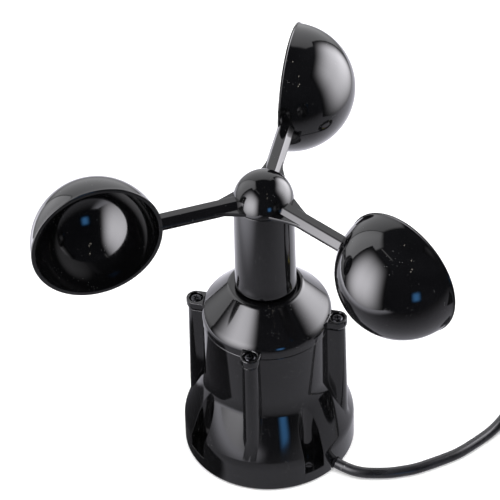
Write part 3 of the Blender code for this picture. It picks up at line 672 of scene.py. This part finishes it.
def build_cups(materials):
    """Thin hemispheres, each opening forwards along the path that the rotor turns."""
    inner_r = CUP_R - CUP_WALL
    inside = arc(0.0, 0.0, inner_r, -90.0, -1.0, 36)
    inside[0] = (0.0, -inner_r)
    rim = fillet([(inner_r, 0.0), (inner_r + 0.25, 0.0, 0.2), (CUP_R + LIP, 0.0, 0.35),
                  (CUP_R + LIP, -LIP_DEPTH, 0.2), (CUP_R + 0.05, -LIP_DEPTH - 0.2, 0.1),
                  (CUP_R, -LIP_DEPTH - 0.5)], 4)
    outside = arc(0.0, 0.0, CUP_R, -3.0, -90.0, 40)
    outside[-1] = (0.0, -CUP_R)
    for index, angle in enumerate(rotor_angles()):
        cup = lathe(f"wind_cup_{index + 1}", inside + rim + outside, 144, closed=False, sharp=60.0)
        forwards = Matrix.Rotation(angle, 4, "Z")
        tip = Matrix.Rotation(-math.pi / 2, 4, "X")
        shift = Matrix.Translation(Vector((CUP_PATH_R, CUP_AHEAD, CUP_Z)) * MM)
        cup.data.transform(forwards @ shift @ tip)
        finish_piece(cup, materials["gloss"], "rotor", "gloss_black_plastic", f"cup_{index + 1}")


def arm_section(x):
    """A six-sided section across an arm, flat above and below, with rounded corners."""
    corners = [Vector((math.cos(math.radians(60 * k)), math.sin(math.radians(60 * k)))) * ARM_R
               for k in range(6)]
    ring = []
    for index, corner in enumerate(corners):
        before = (corners[index - 1] - corner).normalized() * ARM_ROUND
        after = (corners[(index + 1) % 6] - corner).normalized() * ARM_ROUND
        for step in range(5):
            t = step / 4
            spot = (corner + before) * (1 - t) ** 2 + corner * 2 * t * (1 - t) + (corner + after) * t * t
            ring.append(Vector((x, spot[0], ARM_Z + spot[1])))
    return ring


def gusset_data():
    """The thin flat web that widens an arm's root."""
    outline = []
    for side in (1, -1):
        edge = []
        for step in range(13):
            t = step / 12
            x = GUSSET_START + (GUSSET_REACH + 2.0 - GUSSET_START) * t
            taper = min(1.0, (x - GUSSET_START + 0.2) / (GUSSET_REACH - GUSSET_START + 0.2))
            y = GUSSET_HALF + (ARM_R - GUSSET_HALF) * taper
            y += 0.35 * max(0.0, 1.0 - abs(x - GUSSET_REACH) / 4.0) ** 2 - 0.35 * t
            edge.append((x, side * y))
        outline += edge if side > 0 else edge[::-1]
    half_thick = 0.9
    tiers = [(0.25, -half_thick), (0.0, -half_thick + 0.25), (0.0, half_thick - 0.25), (0.25, half_thick)]
    return stack_data([[Vector((x, y - math.copysign(inset, y), ARM_Z + z)) for x, y in outline]
                       for inset, z in tiers])


def build_arms(materials):
    bar = stack_data([arm_section(x) for x in ARM_STATIONS])
    web = gusset_data()
    for index, angle in enumerate(rotor_angles()):
        arm = joined(f"rotor_arm_{index + 1}", [turned_data(bar, angle), turned_data(web, angle)], 75.0)
        face_weighted(arm)
        finish_piece(arm, materials["gloss"], "rotor", "gloss_black_plastic", f"arm_{index + 1}")


def build_hub(materials):
    dome = arc(0.0, DOME_Z, DOME_R, 90.0, 0.0, 36)
    dome[0] = (0.0, DOME_Z + DOME_R)
    dome += fillet([(DOME_R, DOME_Z - 0.05), (DOME_R, 131.3, 0.2), (DOME_R - 1.5, 131.3)], 3)
    inner_r = DOME_R - 1.6
    dome += [(inner_r, 131.5)] + arc(0.0, DOME_Z, inner_r, 0.0, 88.0, 12) + [(0.0, DOME_Z + inner_r)]
    shell = lathe("hub_cap_dome", dome, 128, closed=False, sharp=50.0)
    finish_piece(shell, materials["gloss"], "rotor", "gloss_black_plastic", "hub_dome")
    sleeve = fillet([
        (SLEEVE_INNER_R, 110.0), (SLEEVE_INNER_R, SLEEVE_TOP, 0.2), (SLEEVE_R_TOP, SLEEVE_TOP, 0.25),
        (SLEEVE_R_BOTTOM - 0.25, SLEEVE_BOTTOM + 4.5, 3.0), (SLEEVE_R_BOTTOM, SLEEVE_BOTTOM + 1.2, 0.8),
        (SLEEVE_R_BOTTOM, SLEEVE_BOTTOM, 0.6), (SLEEVE_INNER_R, SLEEVE_BOTTOM, 0.3),
        (SLEEVE_INNER_R, 110.0)], 5)[:-1]
    tube = lathe("hub_sleeve", sleeve, 128, sharp=50.0)
    face_weighted(tube)
    finish_piece(tube, materials["gloss"], "rotor", "gloss_black_plastic", "rotor_sleeve")


# ---------------------------------------------------------------- housing pieces

def tongue(radius, inner, height, count=18):
    """Outline of a tongue that points along +X: straight sides and a round nose."""
    nose = [Vector((SCREW_CIRCLE_R + radius * math.cos(turn), radius * math.sin(turn), height))
            for turn in (math.radians(-90 + 180 * step / count) for step in range(count + 1))]
    return [Vector((inner, -radius, height))] + nose + [Vector((inner, radius, height))]


def column_angles():
    return [index * math.pi / 2 for index in range(4)]


def niche_angles():
    return [math.pi / 4 + index * math.pi / 2 for index in range(4)]


def build_cap(materials):
    outer = fillet([
        (BORE_R, NECK_TOP), (NECK_R, NECK_TOP, 0.5), (NECK_R, SHOULDER_Z + 1.5, 0.6),
        (NECK_R + 1.2, SHOULDER_Z, 0.5), (SHOULDER_R, SHOULDER_Z, 1.2), (RIM_R, RIM_TOP, 5.2),
        (RIM_R, RIM_BOTTOM, 0.25), (CAP_INNER_R, RIM_BOTTOM)], 8)
    inside = [(CAP_INNER_R, 71.0), (13.6, 82.6), (BORE_R, 83.6)]
    cap = lathe("housing_cap", outer + inside, 192)
    tiers = ((LUG_R - 0.7, RIM_BOTTOM), (LUG_R - 0.1, RIM_BOTTOM + 1.15), (LUG_R, RIM_BOTTOM + 1.4),
             (LUG_R, LUG_TOP - 0.4), (LUG_R - 0.13, LUG_TOP - 0.13), (LUG_R - 0.4, LUG_TOP))
    lug = stack_data([tongue(radius, 25.0, height) for radius, height in tiers])
    cut(cap, joined("lugs", [turned_data(lug, angle) for angle in column_angles()]), "UNION")
    seat_profile = [(0.0, 76.0), (3.25, 76.0), (3.15, LUG_TOP), (2.9, LUG_TOP - 0.35), (2.9, SEAT_Z),
                    (1.7, SEAT_Z), (1.7, 60.0), (0.0, 60.0)]
    seat = lathe_data(seat_profile, 48, False)
    seats = [shifted_data(seat, polar(SCREW_CIRCLE_R, angle)) for angle in column_angles()]
    cut(cap, joined("seats", seats), "DIFFERENCE")
    tidy_mesh(cap.data, 35.0)
    face_weighted(cap)
    finish_piece(cap, materials["gloss_edged"], "housing", "gloss_black_plastic", "top_cap")


def niche_data(angle):
    """A standing half-round groove, open to the outside."""
    outline = [(44.0, -NICHE_HALF), (44.0, NICHE_HALF)]
    for step in range(33):
        turn = math.pi / 2 + math.pi * step / 32
        outline.append((NICHE_CENTRE_R + NICHE_HALF * math.cos(turn), NICHE_HALF * math.sin(turn)))
    low = [Vector((x, y, NICHE_FLOOR)) for x, y in outline]
    high = [Vector((x, y, NICHE_TOP)) for x, y in outline]
    return turned_data(prism_data(low, high), angle)


def foot_profile():
    """A wide fillet under the body's wall, a cone, and a soft corner onto the skirt."""
    half = FLARE_FILLET * math.tan(FLARE_TILT / 2)
    points = []
    for step in range(15):
        turn = FLARE_TILT * step / 14
        points.append((BODY_R + FLARE_FILLET * (1 - math.cos(turn)),
                       FLARE_Z + half - FLARE_FILLET * math.sin(turn)))
    foot_z = FLARE_Z - (SKIRT_R - BODY_R) / math.tan(FLARE_TILT)
    corner = fillet([(SKIRT_R - 2.0, foot_z + 2.0 / math.tan(FLARE_TILT)), (SKIRT_R, foot_z, 2.4),
                     (SKIRT_R, foot_z - 4.0)], 8)
    return points + corner[1:-1]


def notch_data():
    """The round-topped way out for the bush and the cable, open to the floor."""
    half = BUSH_R + 0.1
    opening = [(-half, -1.0), (half, -1.0)]
    for step in range(17):
        turn = math.pi * step / 16
        opening.append((half * math.cos(turn), EXIT_Z + half * math.sin(turn)))
    slot_in, slot_out = ([Vector((x, y, z)) for y, z in opening] for x in (30.7, 41.3))
    return turned_data(prism_data(slot_in, slot_out), EXIT_TURN)


def build_shell(materials):
    outer = fillet([(BODY_INNER_R + 1.4, SEAM_Z), (BODY_R, SEAM_Z, 0.3), (BODY_R, 50.0)], 5)
    outer += foot_profile()
    outer += fillet([(SKIRT_R, 9.0), (SKIRT_R, LIP_BOTTOM, 0.3), (SKIRT_INNER_R, LIP_BOTTOM),
                     (SKIRT_INNER_R, SKIRT_BOTTOM), (BODY_INNER_R, SKIRT_BOTTOM)], 5)
    inside = [(BODY_INNER_R, 66.2), (BODY_INNER_R + 1.4, 66.2)]
    shell = lathe("housing_body", outer + inside, 192)
    columns = []
    for angle in column_angles():
        levels = []
        for step in range(9):
            t = step / 8
            radius = COLUMN_R_FOOT + (COLUMN_R_TOP - COLUMN_R_FOOT) * t
            levels.append(tongue(radius, 25.4, COLUMN_FOOT_Z + (SEAM_Z - COLUMN_FOOT_Z) * t, 24))
        columns.append(turned_data(stack_data(levels), angle))
    cut(shell, joined("columns", columns), "UNION")
    hole = lathe_data([(0.0, 8.0), (MOUNT_HOLE_R, 8.0), (MOUNT_HOLE_R, 1.0), (0.0, 1.0)], 40, False)
    holes = [shifted_data(hole, polar(MOUNT_CIRCLE_R, angle)) for angle in niche_angles()]
    cut(shell, joined("niches", [niche_data(angle) for angle in niche_angles()]), "DIFFERENCE")
    cut(shell, joined("mount_holes", holes), "DIFFERENCE")
    cut(shell, joined("cable_notch", [notch_data()]), "DIFFERENCE")
    tidy_mesh(shell.data, 35.0)
    face_weighted(shell)
    finish_piece(shell, materials["gloss_edged"], "housing", "gloss_black_plastic", "housing_shell")


def build_bush(materials):
    """The round rubber bush that holds the cable in the foot, flush with the skirt."""
    end = SKIRT_R - 0.3
    profile = [(BUSH_R, end), (BUSH_R, BUSH_START), (BUSH_INNER_R, BUSH_START), (BUSH_INNER_R, end)]
    bush = lathe("cable_bush", profile, 48)
    lie_down = Matrix.Rotation(EXIT_TURN, 4, "Z") @ Matrix.Rotation(math.pi / 2, 4, "Y")
    bush.data.transform(Matrix.Translation(Vector((0.0, 0.0, EXIT_Z * MM))) @ lie_down)
    finish_piece(bush, materials["rubber"], "housing", "black_rubber", "cable_grommet")


def build_cap_screws(materials):
    """Pan-head screws with a cross recess."""
    crown, tip = SEAT_Z + SCREW_HEAD_HEIGHT, SEAT_Z - SCREW_LENGTH
    under = SEAT_Z + 0.05
    head = fillet([(0.0, crown), (1.2, crown - 0.03, 0.5), (SCREW_HEAD_R - 0.5, crown - 0.3, 0.6),
                   (SCREW_HEAD_R, crown - 0.9, 0.4), (SCREW_HEAD_R, under, 0.12), (SCREW_SHANK_R, under),
                   (SCREW_SHANK_R, tip + 0.6), (SCREW_SHANK_R - 0.6, tip), (0.0, tip)], 4)
    master = lathe("screw_master", head, 48, closed=False)
    long_arm, half_slot = 1.55, 0.36
    plus = [(half_slot, long_arm), (-half_slot, long_arm), (-half_slot, half_slot), (-long_arm, half_slot),
            (-long_arm, -half_slot), (-half_slot, -half_slot), (-half_slot, -long_arm),
            (half_slot, -long_arm), (half_slot, -half_slot), (long_arm, -half_slot), (long_arm, half_slot),
            (half_slot, half_slot)]
    low = [Vector((x * 0.55, y * 0.55, SEAT_Z + 0.5)) for x, y in plus]
    high = [Vector((x * 1.06, y * 1.06, SEAT_Z + 2.1)) for x, y in plus]
    cut(master, joined("recess", [prism_data(low, high)]), "DIFFERENCE")
    tidy_mesh(master.data, 35.0)
    for index, angle in enumerate(column_angles()):
        screw = add_object(f"pan_screw_{index + 1}", master.data.copy())
        own_turn = Matrix.Rotation(math.radians(17 + 31 * index), 4, "Z")
        screw.data.transform(Matrix.Translation(polar(SCREW_CIRCLE_R, angle) * MM) @ own_turn)
        finish_piece(screw, materials["dark_steel"], "housing", "blackened_steel", f"cap_screw_{index + 1}")
    bpy.data.objects.remove(master, do_unlink=True)


def dress_inner_nodes(materials):
    """Procedural finishes for the CAD nodes that stay as they are."""
    dress = {
        "gloss_edged": ["bottom_cover"],
        "rubber": ["cap_gasket"],
        "jacket": ["inner_lead"],
        "dark_steel": ["retaining_ring", "spindle_clip"] + [f"cover_screw_{i}" for i in range(1, 5)]
                      + [f"board_screw_{i}" for i in range(1, 4)],
        "steel": ["bearing_lower_outer", "bearing_lower_inner", "bearing_upper_outer", "bearing_upper_inner",
                  "bearing_spacer", "spindle", "clamp_washer", "lock_nut"],
        "brass": ["encoder_collar"] + [f"threaded_insert_{i}" for i in range(1, 5)]
                 + [f"board_pillar_{i}" for i in range(1, 4)],
        "board": ["circuit_board", "terminal_block"],
        "matte": ["hub_core", "encoder_disc", "sensor_fork"],
    }
    for key, names in dress.items():
        for name in names:
            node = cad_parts[name]
            node.data.materials.clear()
            node.data.materials.append(materials[key])


# ---------------------------------------------------------------- studio

def stage_place(right, near, up=0.0):
    """A point of the studio, in mm right of the axis, towards the camera and up."""
    return RIGHT * right + NEAR * near + UP_AXIS * up


def card_material(name, colour, strength, edge_u, edge_v, dim_u=0.0, dim_v=0.0):
    """A glowing cloth, dimmer away from its middle and soft at its edges, along its own two sides."""
    graph = Graph(name)
    graph.nodes.remove(graph.shader)
    split = graph.node("ShaderNodeSeparateXYZ", Vector=graph.node("ShaderNodeUVMap").outputs["UV"])
    level = strength
    for axis, edge, dim in (("X", edge_u, dim_u), ("Y", edge_v, dim_v)):
        centred = graph.add(graph.add(split.outputs[axis], 2.0, "MULTIPLY"), -1.0)
        off_middle = graph.add(centred, 0.0, "ABSOLUTE")
        fade = graph.ramp(off_middle, 1.0, 0.0, 1.0 - edge, 1.0)
        slow = graph.ramp(off_middle, 1.0, 1.0 - dim, 0.0, 1.0)
        level = graph.add(graph.add(fade, slow, "MULTIPLY"), level, "MULTIPLY")
    glow = graph.node("ShaderNodeEmission", Color=(*colour, 1.0), Strength=level)
    graph.links.new(glow.outputs["Emission"], graph.nodes["Material Output"].inputs["Surface"])
    return graph.material


def card(name, corners, material):
    """A four-cornered cloth seen only in reflections; corners run round it from its lower start."""
    mesh = bpy.data.meshes.new(name)
    mesh.from_pydata([corner * MM for corner in corners], [], [(0, 1, 2, 3)])
    grid = mesh.uv_layers.new(name="UVMap")
    for loop, place in zip(grid.data, ((0, 0), (1, 0), (1, 1), (0, 1))):
        loop.uv = place
    mesh.materials.append(material)
    piece = add_object(name, mesh)
    piece.visible_camera = False
    piece.visible_diffuse = False
    piece.visible_transmission = False
    piece.visible_volume_scatter = False
    piece.visible_shadow = False


def facing_card(name, turn, lift, distance, width, height, material):
    """A card square on to the object, at a turn from the camera's side and a lift above the floor."""
    turn, lift = math.radians(turn), math.radians(lift)
    level = RIGHT * math.sin(turn) + NEAR * math.cos(turn)
    away = level * math.cos(lift) + UP_AXIS * math.sin(lift)
    side = UP_AXIS.cross(level).normalized()
    above = away.cross(side)
    middle = away * distance + UP_AXIS * 130.0
    half_side, half_above = side * (width / 2), above * (height / 2)
    corners = [middle - half_side - half_above, middle + half_side - half_above,
               middle + half_side + half_above, middle - half_side + half_above]
    card(name, corners, material)


def build_tent():
    """Lit cloth walls to the left, right and back, an open front, and a dark room beyond."""
    left = card_material("left_cloth", CLOTH_TINT, 10.0, 0.9, 1.0)
    card("left_wall", [stage_place(-84, 286, -80), stage_place(-211, -26, -80),
                       stage_place(-211, -26, 400), stage_place(-84, 286, 400)], left)
    right = card_material("right_cloth", CLOTH_TINT, 8.7, 0.68, 0.9, 0.25, 0.0)
    card("right_wall", [stage_place(230, 112, -40), stage_place(232, -400, -40),
                        stage_place(232, -400, 430), stage_place(230, 112, 430)], right)
    pale = card_material("pale_cloth", PALE_TINT, 1.45, 0.05, 0.4, 0.15, 0.2)
    card("back_wall", [stage_place(-340, -410, -60), stage_place(340, -410, -60),
                       stage_place(340, -410, 950), stage_place(-340, -410, 950)], pale)
    side = card_material("side_cloth", PALE_TINT, 2.3, 0.15, 0.5, 0.15, 0.2)
    card("back_side", [stage_place(-190, 60, -60), stage_place(-338, -412, -60),
                       stage_place(-338, -412, 950), stage_place(-190, 60, 620)], side)
    window = card_material("far_window", (0.13, 0.45, 1.0), 4.2, 0.9, 0.75)
    facing_card("window", 19.3, -1.9, 2200.0, 700.0, 820.0, window)
    lamp = card_material("ceiling_lamp", (1.0, 0.93, 0.80), 16.0, 0.9, 0.9)
    for index, (turn, lift) in enumerate(LAMPS):
        facing_card(f"lamp_{index + 1}", turn, lift, 1900.0, 62.0, 62.0, lamp)
    slit = card_material("ceiling_slit", (1.0, 1.0, 1.0), 1.5, 0.25, 0.9)
    facing_card("slit", -60.0, 62.0, 900.0, 620.0, 36.0, slit)


def build_floor():
    """A pale floor. In the gloss it shows as the tent's own floor, which ends a little in front."""
    half = 3000.0
    mesh = bpy.data.meshes.new("studio_floor")
    corners = [(-half, -half, 0.0), (half, -half, 0.0), (half, half, 0.0), (-half, half, 0.0)]
    mesh.from_pydata([Vector(corner) * MM for corner in corners], [], [(0, 1, 2, 3)])
    floor = add_object("studio_floor", mesh)
    graph = Graph("pale_floor")
    plain = graph.shader
    speckle = graph.ramp(graph.noise(40.0, 3.0), 0.0, 1.0)
    graph.put(plain.inputs["Base Color"], graph.blend(speckle, (0.875, 0.875, 0.875), (0.885, 0.885, 0.885)))
    plain.inputs["Roughness"].default_value = 0.9
    plain.inputs["Specular IOR Level"].default_value = 0.1
    plain.inputs["Emission Color"].default_value = (1.0, 1.0, 1.0, 1.0)
    plain.inputs["Emission Strength"].default_value = 0.28

    def along(direction):
        dot = graph.nodes.new("ShaderNodeVectorMath")
        dot.operation = "DOT_PRODUCT"
        graph.put(dot.inputs[0], graph.place)
        dot.inputs[1].default_value = direction
        return dot.outputs["Value"]

    # In the gloss the floor is lit behind the object, in front of it and beside the left wall
    near = along(NEAR)
    behind = graph.ramp(near, 0.68, 0.0, -0.11, 0.04)
    in_front = graph.ramp(near, 0.52, 0.07, 0.06, 0.29)
    from_left_wall = graph.add(along(RIGHT * 0.928 - NEAR * 0.373), 0.1853)
    beside_wall = graph.ramp(from_left_wall, 2.1, 0.0, 0.012, 0.07)
    level = graph.add(graph.add(behind, in_front), beside_wall)
    # A painted shadow with square corners darkens the floor's glow to the left of the foot, seen only in the
    # gloss
    across = graph.add(graph.add(along(RIGHT), -PAINTED_SHADOW_AT[0]), 1 / PAINTED_SHADOW_HALF[0], "MULTIPLY")
    deep = graph.add(graph.add(near, -PAINTED_SHADOW_AT[1]), 1 / PAINTED_SHADOW_HALF[1], "MULTIPLY")
    shadow_patch = graph.add(graph.add(across, 4.0, "POWER"), graph.add(deep, 4.0, "POWER"))
    level = graph.add(level, graph.ramp(shadow_patch, 0.09, 1.0, 0.92, 1.45), "MULTIPLY")
    glow = graph.node("ShaderNodeEmission", Strength=level)
    glow.inputs["Color"].default_value = (0.985, 0.975, 1.07, 1.0)
    open_front = graph.nodes.new("ShaderNodeBsdfTransparent")
    ended = graph.nodes.new("ShaderNodeMixShader")
    graph.put(ended.inputs[0], graph.ramp(near, 0.0, 1.0, 0.27, 0.33))
    graph.links.new(glow.outputs["Emission"], ended.inputs[1])
    graph.links.new(open_front.outputs["BSDF"], ended.inputs[2])
    rays = graph.nodes.new("ShaderNodeLightPath")
    mix = graph.nodes.new("ShaderNodeMixShader")
    graph.put(mix.inputs[0], rays.outputs["Is Glossy Ray"])
    graph.links.new(plain.outputs["BSDF"], mix.inputs[1])
    graph.links.new(ended.outputs["Shader"], mix.inputs[2])
    graph.links.new(mix.outputs["Shader"], graph.nodes["Material Output"].inputs["Surface"])
    mesh.materials.append(graph.material)


def add_area(name, place, aim, size, power):
    data = bpy.data.lights.new(name, "AREA")
    data.shape = "SQUARE"
    data.size = size
    data.energy = power
    light = bpy.data.objects.new(name, data)
    bpy.context.scene.collection.objects.link(light)
    direction = (aim - place).normalized()
    turn = direction.to_track_quat("-Z", "Y").to_matrix().to_4x4()
    light.matrix_world = Matrix.Translation(place * MM) @ turn
    light.visible_glossy = False
    light.visible_camera = False


def build_lights():
    add_area("top_light", stage_place(-150, 100, 1700), Vector((0, 0, 0)), 1.6, 34.0)
    add_area("side_light", stage_place(900, 300, 900), Vector((0, 0, 60)), 1.0, 6.0)
    world = bpy.data.worlds.new("studio_air")
    bpy.context.scene.world = world
    world.use_nodes = True
    tree = world.node_tree
    tree.nodes.clear()
    out = tree.nodes.new("ShaderNodeOutputWorld")
    rays = tree.nodes.new("ShaderNodeLightPath")
    fill = tree.nodes.new("ShaderNodeBackground")
    fill.inputs["Color"].default_value = (1.0, 1.0, 1.0, 1.0)
    fill.inputs["Strength"].default_value = 0.55
    clear = tree.nodes.new("ShaderNodeBackground")
    clear.inputs["Color"].default_value = (1.0, 1.0, 1.0, 1.0)
    dark = tree.nodes.new("ShaderNodeBackground")
    dark.inputs["Color"].default_value = (0.040, 0.042, 0.052, 1.0)
    seen = tree.nodes.new("ShaderNodeMixShader")
    tree.links.new(rays.outputs["Is Camera Ray"], seen.inputs[0])
    tree.links.new(fill.outputs["Background"], seen.inputs[1])
    tree.links.new(clear.outputs["Background"], seen.inputs[2])
    mirrored = tree.nodes.new("ShaderNodeMixShader")
    tree.links.new(rays.outputs["Is Glossy Ray"], mirrored.inputs[0])
    tree.links.new(seen.outputs["Shader"], mirrored.inputs[1])
    tree.links.new(dark.outputs["Background"], mirrored.inputs[2])
    tree.links.new(mirrored.outputs["Shader"], out.inputs["Surface"])


def main():
    scene = bpy.context.scene
    scene.view_settings.view_transform = "Standard"
    scene.view_settings.look = "None"
    make_camera()
    materials = make_materials()
    build_cable(materials)
    build_cups(materials)
    build_arms(materials)
    build_hub(materials)
    build_cap(materials)
    build_shell(materials)
    build_bush(materials)
    build_cap_screws(materials)
    dress_inner_nodes(materials)
    build_floor()
    build_tent()
    build_lights()


main()
